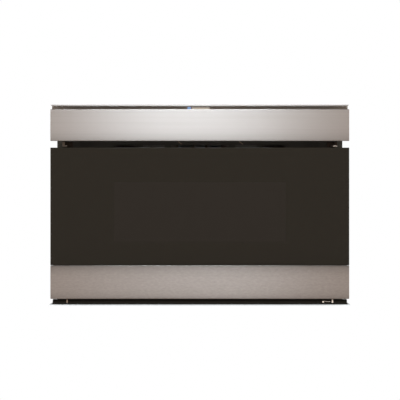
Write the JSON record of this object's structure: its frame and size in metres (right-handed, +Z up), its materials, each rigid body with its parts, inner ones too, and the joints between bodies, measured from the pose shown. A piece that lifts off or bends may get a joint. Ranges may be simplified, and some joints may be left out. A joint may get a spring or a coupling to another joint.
{
  "type": "microwave drawer",
  "caption": "Built-in microwave drawer with a glass-fronted sliding drawer, rack drive, ball-bearing slides and a tilt-out stainless control panel.",
  "frame": {"origin": "middle of the overall width and depth, on the surface that the base pan stands on", "axes": "+X to the right seen from the front, the front faces -Y, +Z up"},
  "size_m": [0.6064, 0.625, 0.405],
  "materials": {
    "stainless": "brushed",
    "black_glass": "gloss",
    "clear_glass": "gloss",
    "ceramic_glass": "satin",
    "galvanised": "matte",
    "dark_steel": "matte",
    "enamel": "satin",
    "slide_steel": "satin",
    "aluminium": "satin",
    "black_plastic": "matte",
    "grey_plastic": "matte",
    "white_plastic": "matte",
    "gear_plastic": "satin",
    "mica": "matte",
    "copper_winding": "satin",
    "circuit_board": "satin",
    "lamp_blue": "gloss",
    "rubber": "matte"
  },
  "bodies": {
    "housing": {"base_pan": "galvanised", "left_side_cover": "galvanised", "right_side_cover": "galvanised", "top_cover": "galvanised", "rear_panel": "galvanised", "front_frame": "dark_steel", "top_trim": "stainless", "bottom_trim": "dark_steel", "trim_clips": "galvanised", "sensor_strip": "black_plastic", "sensor_window": "grey_plastic", "status_lamp": "lamp_blue", "cavity_shell": "enamel", "stirrer_cover": "mica", "waveguide": "galvanised", "stirrer_motor": "galvanised", "cavity_lamp": "white_plastic", "magnetron": "aluminium", "transformer": "copper_winding", "capacitor": "aluminium", "power_board": "circuit_board", "thermal_cutouts": "black_plastic", "fan_shroud": "galvanised", "fan_motor": "dark_steel", "cord_bushing": "rubber", "case_screws": "slide_steel", "slide_brackets": "galvanised", "outer_slides": "slide_steel", "shaft_bearings": "white_plastic", "drive_motor": "black_plastic", "interlock_bracket": "galvanised", "interlock_switches": "black_plastic", "panel_brackets": "galvanised"},
    "drawer": {"door_glass": "black_glass", "door_lower_band": "stainless", "door_frame": "dark_steel", "door_screen": "dark_steel", "door_inner_window": "clear_glass", "choke_frame": "galvanised", "choke_cover": "black_plastic", "drawer_tub": "enamel", "tub_tray": "ceramic_glass", "drawer_arms": "galvanised", "drive_racks": "gear_plastic", "inner_slides": "slide_steel", "latch_hooks": "white_plastic"},
    "slide_middles": {"middle_slides": "slide_steel", "ball_cages": "slide_steel"},
    "cross_shaft": {"cross_shaft": "slide_steel", "rack_pinions": "gear_plastic", "drive_gear": "gear_plastic"},
    "motor_pinion": {"motor_pinion": "gear_plastic"},
    "control_panel": {"panel_fascia": "stainless", "panel_housing": "black_plastic", "touch_glass": "black_glass", "display_board": "circuit_board"},
    "stirrer": {"stirrer_blade": "aluminium"},
    "fan": {"fan_blade": "grey_plastic"},
    "plunger_lower": {"switch_plunger_lower": "white_plastic"},
    "plunger_upper": {"switch_plunger_upper": "white_plastic"}
  },
  "joints": [
    {"name": "drawer_slide", "type": "slide", "parent": "housing", "child": "drawer", "axis": [0, -1, 0], "range_m": [0, 0.38]},
    {"name": "slide_middles_slide", "type": "slide", "parent": "housing", "child": "slide_middles", "axis": [0, -1, 0], "range_m": [0, 0.19]},
    {"name": "cross_shaft_spin", "type": "hinge", "parent": "housing", "child": "cross_shaft", "pos_m": [0, -0.235, 0.04387], "axis": [1, 0, 0], "range_deg": [0, 1452]},
    {"name": "motor_pinion_spin", "type": "hinge", "parent": "housing", "child": "motor_pinion", "pos_m": [0, -0.2, 0.04387], "axis": [1, 0, 0], "range_deg": [-3630.2, 0]},
    {"name": "control_panel_tilt", "type": "hinge", "parent": "housing", "child": "control_panel", "pos_m": [0, -0.295, 0.336], "axis": [1, 0, 0], "range_deg": [0, 45]},
    {"name": "stirrer_spin", "type": "hinge", "parent": "housing", "child": "stirrer", "pos_m": [0, -0.0593, 0.289], "axis": [0, 0, 1], "continuous": true},
    {"name": "fan_spin", "type": "hinge", "parent": "housing", "child": "fan", "pos_m": [0, 0.2815, 0.25], "axis": [0, 1, 0], "continuous": true},
    {"name": "plunger_lower_press", "type": "slide", "parent": "housing", "child": "plunger_lower", "axis": [0, 1, 0], "range_m": [0, 0.0015], "stiffness_N_per_m": 400},
    {"name": "plunger_upper_press", "type": "slide", "parent": "housing", "child": "plunger_upper", "axis": [0, 1, 0], "range_m": [0, 0.0015], "stiffness_N_per_m": 400}
  ],
  "couplings": [
    {"joint": "slide_middles_slide", "follows": "drawer_slide", "ratio": 0.5},
    {"joint": "cross_shaft_spin", "follows": "drawer_slide", "rad_per_m": 66.667},
    {"joint": "motor_pinion_spin", "follows": "drawer_slide", "rad_per_m": -166.67}
  ]
}
